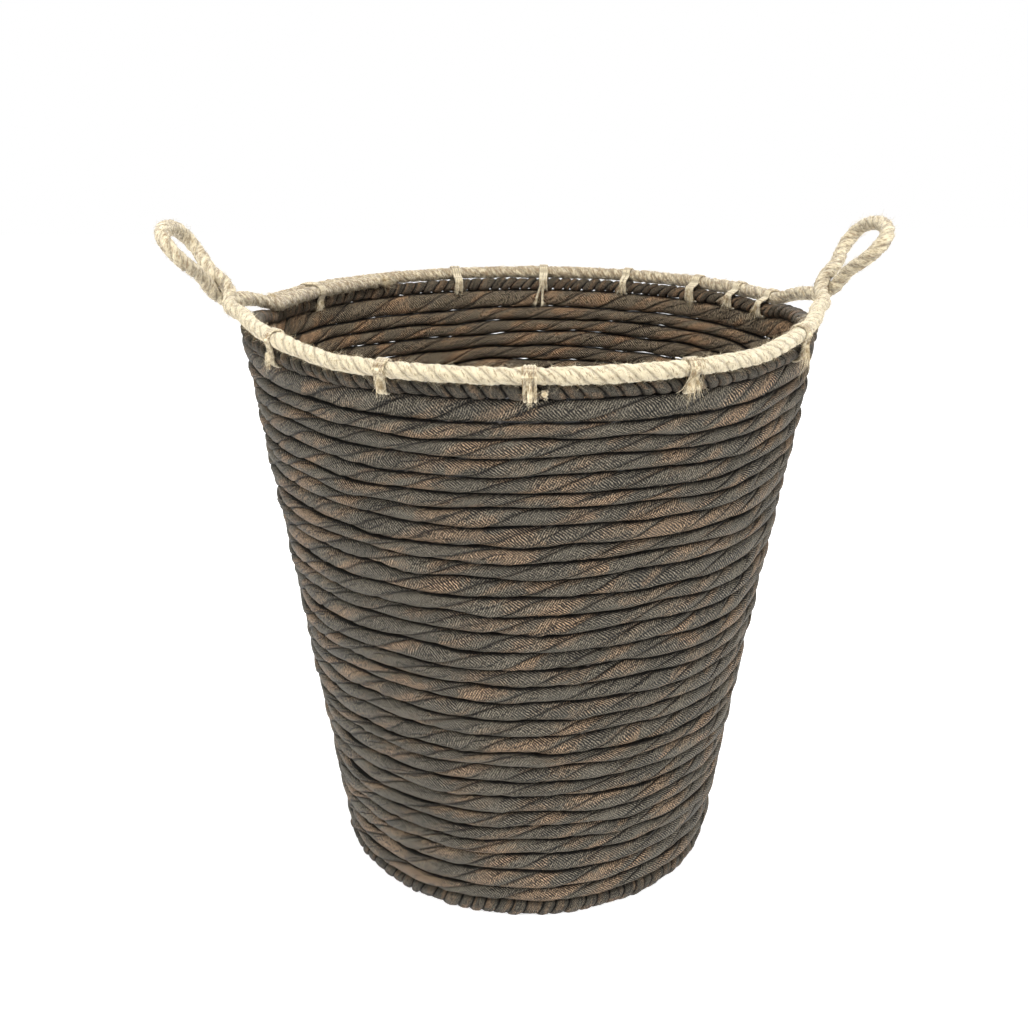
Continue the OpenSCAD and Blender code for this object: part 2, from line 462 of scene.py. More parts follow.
# one rope in lit and shaded copies: painted light makes the front paler and painted shade makes the back
# darker
litFrontJute = makeJuteMaterial("litFrontJute", 1.0, True, 0.30)
loopJute = makeJuteMaterial("loopJute", 1.0, True, 0.06)
shadedBackJute = makeJuteMaterial("shadedBackJute", 1.0, True, -0.14)
yarnJute = makeJuteMaterial("yarnJute", 1.4, False, 0.0)
juteHair = makeHairMaterial()
drawnWire = makeWireMaterial()
for node in ("rim_hoop", "foot_hoop", "base_star", "upright_wires"):
    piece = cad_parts[node]
    piece.data.materials.clear()
    piece.data.materials.append(drawnWire)
print("materials ready")


# Smooth noise round a ring: it joins up with itself
def ringNoise(rng, angle, first, last, amount):
    total = np.zeros_like(angle)
    power = 0.0
    for m in range(first, last + 1):
        size = 1.0 / (1.0 + 0.12 * (m - first))
        total += size * np.cos(m * angle + rng.uniform(0, turn))
        power += size * size / 2
    return amount * total / math.sqrt(power)


def smooth(value, low, high):
    t = np.clip((value - low) / (high - low), 0, 1)
    return t * t * (3 - 2 * t)


# A cosine or sine made squarer by a power below 1
def squarer(value, power):
    return np.sign(value) * np.abs(value) ** power


# How far the rim and the rope rise towards a handle, 0 to 1, at an angle from +X
liftRuns = {"front": 50.0, "back": 14.0}    # degrees over which they rise


def riseToHandle(angle, frontRun=liftRuns["front"]):
    side = np.degrees(np.abs(np.arcsin(np.clip(np.sin(angle), -1, 1))))
    run = np.where(np.sin(angle) < 0, frontRun, liftRuns["back"])
    return np.clip(1 - (side / run) ** 2, 0, 1)


wall = {
    "rows": 30,
    "handleLift": 5.0 * mm,     # how far the top edge rises at the handles
    "liftFrom": 0.20,           # height where that rise starts
    "thicknessSpread": 0.13,
    "sharedWave": 0.9 * mm,
    "ownWave": 0.75 * mm,
    "rowGap": -0.20 * mm,       # below 0 the rows press into each other
    "inOut": 0.55 * mm,
    "lay": 82.0 * mm,           # length of one full turn of the two plies
    "slipAngle": 0.40,
    "creaseDepth": 0.21,
    "softDepth": 0.11,
    "creaseWidth": 0.045,
    "softWidth": 0.20,
    "square": 0.86,             # 1 is round, less is squarer
    "creaseFrom": 0.72,         # how near a row's top or bottom the painted shade between rows starts, and is full
    "creaseTo": 1.00,
    "wrinkle": 0.040,
    "sides": 28,
    "segments": 600,
}

firstLow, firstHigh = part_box("weave_row_01")
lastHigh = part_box(f"weave_row_{wall['rows']:02d}")[1]
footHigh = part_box("foot_wrap")[1]
rimLow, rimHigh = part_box("rim_wrap")
rowDiameter = firstHigh.z - firstLow.z
wallSlope = (lastHigh.x - firstHigh.x) / (lastHigh.z - firstHigh.z)
weaveLow = footHigh.z
weaveHigh = rimLow.z


def wallRadius(z):
    return firstHigh.x - rowDiameter / 2 + wallSlope * (z - (firstLow.z + rowDiameter / 2))


def wallLift(angle, z):
    return wall["handleLift"] * riseToHandle(angle) * smooth(z, wall["liftFrom"], weaveHigh)


def gridOf(mesh, i, j, sides, segments):
    corner = np.empty(len(mesh.loops), np.int32)
    mesh.loops.foreach_get("vertex_index", corner)
    face = corner.reshape(-1, 4)
    faceI = i[face]
    faceJ = j[face]
    for part, count in ((faceI, segments), (faceJ, sides)):
        wraps = part.max(1) - part.min(1) > 1
        part[(part == 0) & wraps[:, None]] = count
    return faceI, faceJ


def setMap(mesh, name, u, v):
    layer = mesh.uv_layers.get(name) or mesh.uv_layers.new(name=name)
    layer.data.foreach_set("uv", np.stack([u, v], -1).astype(np.float32).ravel())


def setPointValue(mesh, name, value):
    layer = mesh.attributes.get(name) or mesh.attributes.new(name, "FLOAT", "POINT")
    layer.data.foreach_set("value", value.astype(np.float32).ravel())


def placePoints(mesh, points):
    mesh.vertices.foreach_set("co", points.astype(np.float32).ravel())
    mesh.update()


# A circle spun round the basket's axis, then copied; also gives each point's place along and round it
firstRings = {}
firstRadius = 0.1


def spinRing(segments, sides):
    clearSelection()
    bpy.ops.mesh.primitive_circle_add(vertices=sides, radius=0.01, location=(firstRadius, 0, 0),
                                      rotation=(turn / 4, 0, 0))
    piece = bpy.context.object
    bpy.ops.object.transform_apply(location=True, rotation=True, scale=True)
    bpy.ops.object.mode_set(mode="EDIT")
    bpy.ops.mesh.select_all(action="SELECT")
    bpy.ops.mesh.spin(steps=segments, angle=turn, center=(0, 0, 0), axis=(0, 0, 1))
    bpy.ops.mesh.select_all(action="SELECT")
    bpy.ops.mesh.remove_doubles(threshold=0.05 * mm)
    bpy.ops.mesh.normals_make_consistent(inside=False)
    bpy.ops.object.mode_set(mode="OBJECT")
    bpy.ops.object.shade_smooth()
    points = np.empty(len(piece.data.vertices) * 3)
    piece.data.vertices.foreach_get("co", points)
    x, y, height = points.reshape(-1, 3).T
    i = np.rint(np.arctan2(y, x) / turn * segments).astype(int) % segments
    j = np.rint(np.arctan2(height, np.hypot(x, y) - firstRadius) / turn * sides).astype(int) % sides
    return piece, i, j


def addRing(name, segments, sides):
    key = (segments, sides)
    fresh = key not in firstRings
    if fresh:
        firstRings[key] = spinRing(segments, sides)
    piece, i, j = firstRings[key]
    if not fresh:
        clearSelection()
        piece.select_set(True)
        bpy.context.view_layer.objects.active = piece
        bpy.ops.object.duplicate(linked=False)
        piece = bpy.context.object
        piece.data.materials.clear()
    piece.name = name
    return piece, i, j


# The lines where neighbouring rows touch, one more than there are rows
def seamLines():
    w = wall
    rng = np.random.default_rng(11)
    thick = np.clip(1 + rng.normal(0, w["thicknessSpread"], w["rows"]), 0.72, 1.3)
    thick[-1] = 1.18
    level = weaveLow + np.concatenate([[0], np.cumsum(thick)]) / thick.sum() * (weaveHigh - weaveLow)
    ownSeeds = [rng.integers(1 << 30, size=2)[0] for k in range(w["rows"] + 1)]
    sharedSeeds = [np.random.default_rng(50 + g).integers(1 << 30) for g in range(6)]
    lastShared = len(sharedSeeds) - 1

    def line(k, angle):
        if k == 0:
            return np.full_like(angle, level[0])
        if k == w["rows"]:
            return level[k] + wallLift(angle, level[k])
        place = k / w["rows"] * lastShared
        low = int(place)
        part = place - low
        wave = 0
        for g, share in ((low, 1 - part), (min(low + 1, lastShared), part)):
            sharedRng = np.random.default_rng(sharedSeeds[g])
            wave = wave + share * ringNoise(sharedRng, angle, 2, 9, w["sharedWave"])
        fade = min(1.0, k / 2, (w["rows"] - k) / 2)
        own = ringNoise(np.random.default_rng(ownSeeds[k]), angle, 4, 24, w["ownWave"])
        return level[k] + fade * (wave + own) + wallLift(angle, level[k])

    return line


# How far a ply's surface stands out, from its sharp crease at 0 to its soft one at 1
def plyProfile(t, w):
    sharp = w["creaseDepth"] * np.exp(-t / w["creaseWidth"])
    soft = w["softDepth"] * np.exp(-(1 - t) / w["softWidth"])
    return 1 - sharp - soft - 0.05 * np.exp(-(1 - t) / w["creaseWidth"])


# A row of two twisted plies between two lines, standing in for a CAD row
def twistRow(name, node, seed, lineLow, lineHigh, radiusAt, sides, segments, w):
    low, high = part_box(node)
    thick = high.z - low.z
    ringRadius = high.x - thick / 2
    rng = np.random.default_rng(seed)
    piece, i, j = addRing(name, segments, sides)
    mesh = piece.data
    twists = max(1, int(round(turn * ringRadius / w["lay"])))
    half = sides // 2
    share = np.arange(half) / half
    share = share - 0.09 * np.sin(turn * share)
    plyAngle = np.concatenate([share, 1 + share]) * math.pi
    seam = rng.uniform(0, turn)
    along = turn * i / segments
    angle = along + seam
    slip = ringNoise(np.random.default_rng(seed + 900), angle, 1, 7, w["slipAngle"])
    phase = rng.uniform(0, turn)
    roundAngle = plyAngle[j] + twists * along + phase + slip
    t = share[j % half]
    profile = plyProfile(t, w)
    for ply in range(2):
        swell = ringNoise(rng, angle, 3, 30, 0.022)
        folds = np.zeros_like(angle)
        for fold in range(4):
            waves = rng.uniform(1.2, 4.2)
            folds += np.cos(turn * waves * t + int(rng.integers(-9, 10)) * angle + rng.uniform(0, turn))
        depth = w["wrinkle"] * (0.5 + np.clip(ringNoise(rng, angle, 2, 16, 0.7), -0.4, 1.6))
        profile = profile + (j // half == ply) * (swell + depth * folds / 2)
    bottom = lineLow(angle)
    top = lineHigh(angle)
    halfHigh = (top - bottom) / 2 - w["rowGap"] / 2
    halfWide = thick / 2 * np.clip(thick / 2 / halfHigh, 0.7, 1.4) ** 0.25 * w["swell"]
    centre = (top + bottom) / 2
    ringIn = radiusAt(centre, angle) + ringNoise(rng, angle, 2, 20, w["inOut"])
    wide = profile * halfWide * squarer(np.cos(roundAngle), w["square"])
    tall = profile * halfHigh * squarer(np.sin(roundAngle), w["square"])
    reach = ringIn + wide + w["shear"] * tall
    placePoints(mesh, np.stack([reach * np.cos(angle), reach * np.sin(angle), centre + tall], -1))
    tilt = math.atan(thick / 2 * turn / w["lay"])
    fi, fj = gridOf(mesh, i, j, sides, segments)
    plyFull = np.concatenate([plyAngle, [turn]])
    x = turn * fi / segments * ringRadius
    y = plyFull[fj] * thick / 2
    offset = seed * 0.37 % 9
    setMap(mesh, "leafMap", x / math.cos(tilt) + y * math.sin(tilt) + offset,
           y / math.pi / (thick / 2) * wallStrip + wallStrip * 2 * (seed % 40))
    # mask for the painted light on the row's inner face
    setPointValue(mesh, "inside", smooth(-wide, -0.2 * thick, 0.35 * thick) * w["insideShade"])
    nearEdge = np.abs(wide) / halfWide if w["flat"] else np.abs(tall) / halfHigh
    # painted shade near the row's top and bottom, in the grooves between neighbouring rows
    setPointValue(mesh, "crease", smooth(nearEdge, w["creaseFrom"], w["creaseTo"]))
    mesh.materials.append(wallLeaf)
    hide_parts(node)
    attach(piece, "basket")


def makeWall():
    w = dict(wall, shear=wallSlope, insideShade=1.0, flat=False, swell=1.0)
    line = seamLines()
    for k in range(1, w["rows"] + 1):
        twistRow(f"leaf_row_{k:02d}", f"weave_row_{k:02d}", k,
                 lambda a, k=k: line(k - 1, a), lambda a, k=k: line(k, a),
                 lambda z, a: wallRadius(z), w["sides"], w["segments"], w)


makeWall()
print("wall rows ready")

base = {
    "rows": 10,
    "sides": 20,
    "segments": 240,
    "lay": 70.0 * mm,
    "square": 0.80,
    "swell": 1.16,              # wide enough that neighbouring rings meet
}


def makeBase():
    w = dict(wall, shear=0.0, insideShade=0.0, flat=True, swell=base["swell"], lay=base["lay"],
             square=base["square"], inOut=0.15 * mm)
    for k in range(1, base["rows"] + 1):
        node = f"base_row_{k:02d}"
        low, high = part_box(node)
        radius = high.x - (high.z - low.z) / 2
        twistRow(f"leaf_base_{k:02d}", node, 100 + k,
                 lambda a, z=low.z: z + ringNoise(np.random.default_rng(3), a, 2, 5, 0.15 * mm),
                 lambda a, z=high.z: z + ringNoise(np.random.default_rng(5), a, 2, 9, 0.3 * mm),
                 lambda z, a, r=radius: np.full_like(a, r), base["sides"], base["segments"], w)


makeBase()
print("base rows ready")

bandShape = {
    "perWrap": 8,               # segments in one wrap of the strip
    "sides": 20,
    "wrapWidth": 0.0097,
    "bow": 0.9 * mm,
}
rimBand = {"node": "rim_wrap", "count": 122, "lean": -3.2 * mm, "notch": 0.34, "grow": 0.5 * mm,
           "lift": True, "seed": 7, "square": 0.85}
footBand = {"node": "foot_wrap", "count": 94, "lean": 3.0 * mm, "notch": 0.20, "grow": 0.0,
            "lift": False, "seed": 8, "square": 0.8}


# A leaf strip wound round an edge: bumps whose joins lean and get painted shade
def makeBand(name, b):
    perWrap = bandShape["perWrap"]
    sides = bandShape["sides"]
    low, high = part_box(b["node"])
    bottom = low.z - b["grow"]
    top = high.z + b["grow"]
    middle = (bottom + top) / 2
    ringRadius = wallRadius(middle)
    segments = b["count"] * perWrap
    rng = np.random.default_rng(b["seed"])
    piece, i, j = addRing(name, segments, sides)
    mesh = piece.data
    widths = np.clip(1 + rng.normal(0, 0.16, b["count"]), 0.6, 1.5)
    start = np.concatenate([[0], np.cumsum(widths)]) / widths.sum() * turn
    wrap = i // perWrap
    t = (i % perWrap) / perWrap
    t = t - 0.07 * np.sin(turn * t)
    around = turn * j / sides
    lean = b["lean"] * rng.uniform(0.6, 1.4, b["count"])
    lean = (lean + np.roll(lean, 1)) / 2
    leanHere = lean[wrap] * (1 - t) + lean[(wrap + 1) % b["count"]] * t
    bow = bandShape["bow"] * np.cos(around) ** 2
    slant = (leanHere * np.sin(around) + bow) / ringRadius
    angle = start[wrap] + t * (start[wrap + 1] - start[wrap]) + slant
    bulge = rng.uniform(-0.10, 0.14, b["count"])[wrap]
    notch = b["notch"] * np.abs(2 * t - 1) ** 4
    profile = 1 + bulge * (1 - np.abs(2 * t - 1) ** 2) - notch
    profile = profile + 0.025 * np.cos(5 * around + wrap * 2.1)
    profile = profile + 0.02 * np.cos(turn * 2.3 * t + 3 * around + wrap)
    wide = profile * rowDiameter / 2 * squarer(np.cos(around), b["square"])
    tall = profile * (top - bottom) / 2 * squarer(np.sin(around), b["square"])
    z = middle + tall
    reach = wallRadius(z) + wide
    if b["lift"]:
        z = z + wall["handleLift"] * riseToHandle(angle)
    else:
        z = np.maximum(z, low.z)
    placePoints(mesh, np.stack([reach * np.cos(angle), reach * np.sin(angle), z], -1))
    fi, fj = gridOf(mesh, i, j, sides, segments)
    face = fi.min(1) // perWrap
    x = (fi - face[:, None] * perWrap) / perWrap * turn * ringRadius / b["count"]
    y = turn * fj / sides * rowDiameter / 2 + rng.uniform(0, 3, b["count"])[face][:, None]
    setMap(mesh, "leafMap", y,
           x / bandShape["wrapWidth"] * bandStrip + bandStrip * (face[:, None] * 3 % 97))
    # mask for the painted light on the band's inner face
    setPointValue(mesh, "inside", smooth(-wide, -1 * mm, 3 * mm) * 0.6)
    # painted shade in the joins between wraps
    setPointValue(mesh, "crease", smooth(np.abs(2 * t - 1), 0.72, 1.0) * 0.9)
    mesh.materials.append(bandLeaf)
    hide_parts(b["node"])
    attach(piece, "basket")


makeBand("leaf_rim_band", rimBand)
makeBand("leaf_foot_band", footBand)
print("rim and foot bands ready")

# The jute rope: one length from the tail, round the left loop, the front, the right loop and the back
rope = {
    "thick": 9.6 * mm,
    "lay": 29.0 * mm,
    "sides": 24,
    "step": 1.05 * mm,
    "groove": 0.15,
    "uneven": 0.05,
    "rimRadius": 193.0 * mm,
    "tailRadius": 183.2 * mm,
    "neckRadius": 202.6 * mm,
    "ropeHeight": 395.2 * mm,
    "neckRise": 10.0 * mm,
    "tailStart": 217.0,
    "tailEnd": 253.0,
    "lean": 39.0,               # degrees a loop leans outwards
    "loopLength": 62.6 * mm,
    "loopWidth": 58.0 * mm,
    "legHalf": 5.1 * mm,
    "loopPower": 2.6,           # how late the legs part
    "loopPeak": 0.604,          # the widest value that this power gives
    "unevenEvery": 0.012,
    "cutFront": 12.0,           # degrees from a handle where the rope's pieces meet
    "cutBack": 11.0,
}
# The crossing at a neck in mm: outwards through the loop's plane, towards the back, along the loop
neckRoute = [(-2.4, -12.5, 0.8), (-4.3, -6.0, 4.3), (-4.8, -0.9, 9.6), (-4.0, 3.6, 15.0),
             (-2.0, 8.2, 20.6), (-0.5, 13.9, 26.4)]


def rimPoint(degrees, radius):
    a = math.radians(degrees)
    rise = float(riseToHandle(np.array(a - math.pi / 2)))
    spread = float(riseToHandle(np.array(a - math.pi / 2), liftRuns["back"]))
    q = radius + (rope["neckRadius"] - radius) * spread
    return np.array([q * math.sin(a), -q * math.cos(a), rope["ropeHeight"] + rope["neckRise"] * rise])


def handleRoute(side, backRadius):
    tilt = math.radians(rope["lean"])
    outward = np.array([side * math.cos(tilt), 0, -math.sin(tilt)])
    along = np.array([side * math.sin(tilt), 0, math.cos(tilt)])
    neck = np.array([side * rope["neckRadius"], 0, rope["ropeHeight"] + rope["neckRise"]])

    def place(n, v, u):
        return neck + n * outward + v * np.array([0, 1.0, 0]) + u * along

    points = [place(*(np.array(p) * mm)) for p in neckRoute]
    swell = (rope["loopWidth"] / 2 - 2.4 * mm) / rope["loopPeak"]
    for degrees in range(100, 261, 20):
        t = math.radians(degrees)
        bow = swell * math.sin(t) * math.sin(t / 2) ** rope["loopPower"]
        v = rope["legHalf"] * math.cos(t / 2) + bow
        points.append(place(0, v, rope["loopLength"] / 2 * (1 - math.cos(t))))
    points += [place(*(np.array((-n, -v, u)) * mm)) for n, v, u in reversed(neckRoute)]
    front = [rimPoint(side * (90 - d), rope["rimRadius"]) for d in (12, 9, 6)]
    back = [rimPoint(side * 90 + side * d, backRadius) for d in (6.5, 9, 11)]
    return front + points + back


def ropeRoute():
    r = rope
    tail = [rimPoint(a, r["tailRadius"]) for a in np.arange(r["tailStart"], 258, 3)]
    left = handleRoute(-1, r["tailRadius"])[::-1]
    front = [rimPoint(a, r["rimRadius"]) for a in np.arange(-75, 76, 3)]
    right = handleRoute(1, r["rimRadius"])
    back = [rimPoint(a, r["rimRadius"]) for a in np.arange(104, r["tailEnd"] + 0.1, 4)]
    return np.array(tail + left + front + right + back)


# A smooth line through the points, then rings at even steps along it
def evenLine(points, step):
    dense = []
    for k in range(len(points) - 1):
        p0 = points[max(k - 1, 0)]
        p1 = points[k]
        p2 = points[k + 1]
        p3 = points[min(k + 2, len(points) - 1)]
        d1 = np.linalg.norm(p2 - p1)
        m1 = (p2 - p0) / max(np.linalg.norm(p2 - p0), 1e-9) * d1
        m2 = (p3 - p1) / max(np.linalg.norm(p3 - p1), 1e-9) * d1
        for t in np.arange(0, 1, 0.05):
            dense.append((2 * t ** 3 - 3 * t ** 2 + 1) * p1 + (t ** 3 - 2 * t ** 2 + t) * m1
                         + (3 * t ** 2 - 2 * t ** 3) * p2 + (t ** 3 - t ** 2) * m2)
    dense.append(points[-1])
    dense = np.array(dense)
    length = np.concatenate([[0], np.cumsum(np.linalg.norm(np.diff(dense, axis=0), axis=1))])
    count = int(round(length[-1] / step))
    at = np.linspace(0, length[-1], count + 1)
    return np.stack([np.interp(at, length, dense[:, c]) for c in range(3)], -1), at


def unit(v):
    return v / np.maximum(np.linalg.norm(v, axis=-1, keepdims=True), 1e-9)


def turningFrames(line):
    ahead = unit(np.gradient(line, axis=0))
    side = np.empty_like(line)
    side[0] = unit(np.cross(ahead[0], [0, 0, 1.0]))
    for k in range(1, len(line)):
        side[k] = unit(side[k - 1] - ahead[k] * (side[k - 1] @ ahead[k]))
    return ahead, side, np.cross(ahead, side)


# Rings of points round a line, at the given angles and distances from it
def ringsRound(line, side, up, angle, reach):
    return (line[:, None, :] + reach[..., None] * (np.cos(angle)[..., None] * side[:, None, :]
            + np.sin(angle)[..., None] * up[:, None, :]))


def newPiece(name, points, faces):
    mesh = bpy.data.meshes.new(name)
    mesh.from_pydata(points.reshape(-1, 3).tolist(), [], faces)
    mesh.update()
    piece = bpy.data.objects.new(name, mesh)
    bpy.context.scene.collection.objects.link(piece)
    return piece


def tubeMesh(name, rings, flatMap, closed=False):
    count, sides = rings.shape[:2]
    bays = count if closed else count - 1
    k = np.arange(bays)[:, None]
    j = np.arange(sides)[None, :]
    n = (k + 1) % count
    m = (j + 1) % sides
    quad = np.stack([k * sides + j, k * sides + m, n * sides + m, n * sides + j], -1)
    faces = quad.reshape(-1, 4).tolist()
    if not closed:
        faces.append(list(range(sides - 1, -1, -1)))
        faces.append([(count - 1) * sides + j for j in range(sides)])
    piece = newPiece(name, rings, faces)
    mesh = piece.data
    u = np.zeros(len(mesh.loops))
    v = np.zeros(len(mesh.loops))
    corner = np.empty(len(mesh.loops), np.int32)
    mesh.loops.foreach_get("vertex_index", corner)
    quads = bays * sides
    face = corner[:quads * 4].reshape(-1, 4)
    j = face % sides
    wraps = j.max(1) - j.min(1) > 1
    j = np.where((j == 0) & wraps[:, None], sides, j)
    along, around = flatMap
    k = face // sides
    if closed:
        wraps = k.max(1) - k.min(1) > 1
        k = np.where((k == 0) & wraps[:, None], count, k)
        along = np.append(along, 2 * along[-1] - along[-2])
    u[:quads * 4] = along[k].ravel()
    v[:quads * 4] = (j * around / sides).ravel()
    setMap(mesh, "ropeMap", u, v)
    mesh.polygons.foreach_set("use_smooth", np.ones(len(mesh.polygons), bool))
    mesh.update()
    return piece


# Thin three-sided hairs along given paths of a few points each
def hairMesh(name, paths, thick):
    paths = np.asarray(paths)
    count, points = paths.shape[:2]
    ahead = unit(np.gradient(paths, axis=1))
    side = unit(np.cross(ahead, np.array([0.31, 0.53, 0.79])))
    up = np.cross(ahead, side)
    taper = np.linspace(1.0, 0.25, points)[None, :, None]
    size = (np.broadcast_to(thick, (count,)) / 2)[:, None, None] * taper
    rings = np.stack([paths + size * (math.cos(turn * c / 3) * side + math.sin(turn * c / 3) * up)
                      for c in range(3)], 2)
    corners = ((0, 1), (1, 2), (2, 0))
    one = [(k + c, k + d, k + 3 + d, k + 3 + c) for k in range(0, points * 3 - 3, 3) for c, d in corners]
    offset = (np.arange(count) * points * 3)[:, None, None]
    faces = (np.array(one)[None] + offset).reshape(-1, 4).tolist()
    caps = np.array([(2, 1, 0), (points * 3 - 3, points * 3 - 2, points * 3 - 1)])
    faces += (caps[None] + offset).reshape(-1, 3).tolist()
    piece = newPiece(name, rings, faces)
    piece.data.materials.append(juteHair)
    return piece


hair = {
    "perMetre": 7600,
    "length": (2.0 * mm, 6.0 * mm),
    "thick": 0.20 * mm,
    "stand": 0.30,              # how far the fibres stand off the rope
    "swirl": 0.8,
    "curl": 0.30,
}


def makeRope():
    r = rope
    line, at = evenLine(ropeRoute(), r["step"])
    ahead, side, up = turningFrames(line)
    rng = np.random.default_rng(21)
    sides = r["sides"]
    perStrand = sides // 3
    j = np.arange(sides)
    strandPart = (j % perStrand) / perStrand * 2 - 1          # -1 and 1 are grooves
    strandPart = strandPart + 0.12 * np.sin(math.pi * strandPart)
    strandAngle = (j // perStrand + (strandPart + 1) / 2) * turn / 3
    lobe = 1 - r["groove"] * np.abs(strandPart) ** 2.6
    phase = turn * at / r["lay"]
    knots = np.arange(0, at[-1] + 0.02, r["unevenEvery"])
    wander = np.interp(at, knots, np.random.default_rng(5).normal(0, 1, len(knots)))
    size = r["thick"] / 2 * 1.02 * (1 + r["uneven"] * wander)
    angle = phase[:, None] + strandAngle[None, :]
    rough = rng.normal(0, 0.24 * mm, angle.shape)
    reach = size[:, None] * lobe[None, :] + rough
    rings = ringsRound(line, side, up, angle, reach)
    # where the grooves between strands get painted shade
    groove = np.broadcast_to(np.clip((np.abs(strandPart) - 0.62) / 0.38, 0, 1) ** 1.3, angle.shape)

    def nearest(degrees, radius, start, stop):
        target = rimPoint(degrees, radius)
        return start + int(np.argmin(np.linalg.norm(line[start:stop] - target, axis=1)))

    total = len(line)
    leftBack = nearest(270 - r["cutBack"], r["tailRadius"], 0, total // 4)
    leftFront = nearest(-90 + r["cutFront"], r["rimRadius"], leftBack + 60, total // 2)
    rightFront = nearest(90 - r["cutFront"], r["rimRadius"], leftFront + 200, 3 * total // 4)
    rightBack = nearest(90 + r["cutBack"], r["rimRadius"], rightFront + 60, total)
    # name, first and last ring, the CAD node it stands for, side of the handle, material
    plan = [
        ("jute_rope_tail", 0, leftBack, "rim_rope_tail", 0, shadedBackJute),
        ("jute_handle_left", leftBack, leftFront, "left_handle", -1, loopJute),
        ("jute_rope_front", leftFront, rightFront, "rim_rope_front", 0, litFrontJute),
        ("jute_handle_right", rightFront, rightBack, "right_handle", 1, loopJute),
        ("jute_rope_back", rightBack, total - 1, "rim_rope_back", 0, shadedBackJute),
    ]
    for name, first, last, node, handSide, material in plan:
        part = slice(first, last + 1)
        piece = tubeMesh(name, rings[part], (at[part], turn * r["thick"] / 2))
        setPointValue(piece.data, "groove", groove[part])
        piece.data.materials.append(material)
        count = int((at[last] - at[first]) * hair["perMetre"])
        where = rng.integers(first, last, count)
        strand = rng.uniform(0, turn, count)
        out = (np.cos(strand)[:, None] * side[where] + np.sin(strand)[:, None] * up[where])
        root = line[where] + out * (size[where] * 0.93)[:, None]
        lengths = rng.uniform(*hair["length"], count)[:, None]
        swirl = np.cross(ahead[where], out)
        direction = (ahead[where] * rng.choice([-1, 1], count)[:, None]
                     + swirl * rng.normal(0, hair["swirl"], (count, 1))
                     + out * np.abs(rng.normal(0, hair["stand"], (count, 1))))
        direction = unit(direction)
        curl = rng.normal(0, hair["curl"], (count, 3))
        steps = np.array([0, 0.4, 1.0])[None, :, None]
        way = direction[:, None] * steps + curl[:, None] * steps ** 2
        fuzz = hairMesh(name + "_fuzz", root[:, None, :] + lengths[:, None] * way, hair["thick"])
        for made in (piece, fuzz):
            if handSide:
                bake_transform(made)
            else:
                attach(made, "basket")
        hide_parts(node)
    return line, at, ahead


ropeLine, ropeAt, ropeAhead = makeRope()
print("rope ready, length", round(float(ropeAt[-1]), 3))

tie = {
    "angles": [-56, -29, -4, 23.5, 55, 106, 118, 131, 150.5, 172, 194.5, 237.5],
    "fanned": (-29, -4, 23.5),  # ties whose strands have opened out
    "widest": 23.5,             # the one that has opened most
    "thick": 2.2 * mm,
    "lay": 0.009,
    "sides": 8,
    "step": 1.2 * mm,
    "turns": 4,
    "spread": 0.50,             # degrees between turns
    "brushThick": 0.26 * mm,
    "strandThick": 0.55 * mm,
}


# One turn of yarn round the rim band and the rope, in the plane of its angle
def tieTurn(degrees):
    r = rope
    p = rimPoint(degrees, r["rimRadius"])
    out = math.hypot(p[0], p[1])
    w = r["thick"] / 2 + tie["thick"] / 2 - 0.3 * mm
    lift = wall["handleLift"] * float(riseToHandle(np.array(math.radians(degrees - 90))))
    inner = r["tailRadius"] if r["tailStart"] < degrees < r["tailEnd"] else out
    wallIn = wallRadius(rimLow.z) - rowDiameter / 2 - 0.9 * mm
    wallOut = wallRadius(rimLow.z) + rowDiameter / 2 + 0.9 * mm
    low = rimLow.z + lift - 0.4 * mm
    top = rimHigh.z + lift
    return [(out, p[2] + w), (out + 0.7 * w, p[2] + 0.7 * w), (out + w, p[2]),
            (out + 0.75 * w, p[2] - 0.7 * w), (wallOut + 1.2 * mm, top - 2.5 * mm),
            (wallOut + 0.5 * mm, low + 2 * mm), (wallOut - 2 * mm, low), (wallIn + 2 * mm, low),
            (wallIn, low + 2 * mm),
            (wallIn - 0.4 * mm, top - 2 * mm), (min(wallIn, inner - 0.8 * w), r["ropeHeight"] - 0.6 * w),
            (inner - w, p[2]), (inner - 0.7 * w, p[2] + 0.7 * w), (inner, p[2] + w)]


def closedLine(points, step):
    again = np.array(list(points) * 3)
    line, at = evenLine(again, step)
    third = len(line) // 3
    return line[third:2 * third], at[third:2 * third] - at[third]


def radialPlace(degrees, out, z):
    a = math.radians(degrees)
    return np.array([out * math.sin(a), -out * math.cos(a), z])


tiePieces = []
tieHairs = []
tieStrands = []
tieRng = np.random.default_rng(33)


def addYarn(points, name, closed=False, thick=None):
    thick = thick or tie["thick"]
    points = np.array(points)
    line, at = (closedLine if closed else evenLine)(points, tie["step"])
    _, side, up = turningFrames(line)
    j = np.arange(tie["sides"])
    angle = turn * at[:, None] / tie["lay"] + turn * j[None, :] / tie["sides"]
    reach = thick / 2 * (1 - 0.14 * (j % 2)[None, :])
    piece = tubeMesh(name, ringsRound(line, side, up, angle, reach), (at, turn * thick / 2), closed)
    piece.data.materials.append(yarnJute)
    tiePieces.append(piece)


# A loose brush of fibres: it starts as wide as the yarn and spreads
def addBrush(root, direction, length, spread, count, width=1.0 * mm):
    direction = unit(np.array(direction, float))
    for k in range(count):
        start = np.array(root) + tieRng.normal(0, width / 2, 3)
        way = direction + tieRng.normal(0, spread, 3)
        size = length * tieRng.uniform(0.6, 1.1)
        bend = tieRng.normal(0, 0.14, 3) + np.array([0, 0, -0.18])
        steps = np.array([0, 0.35, 0.7, 1.0])[:, None]
        tieHairs.append(start + size * (way * steps + bend * steps ** 2))


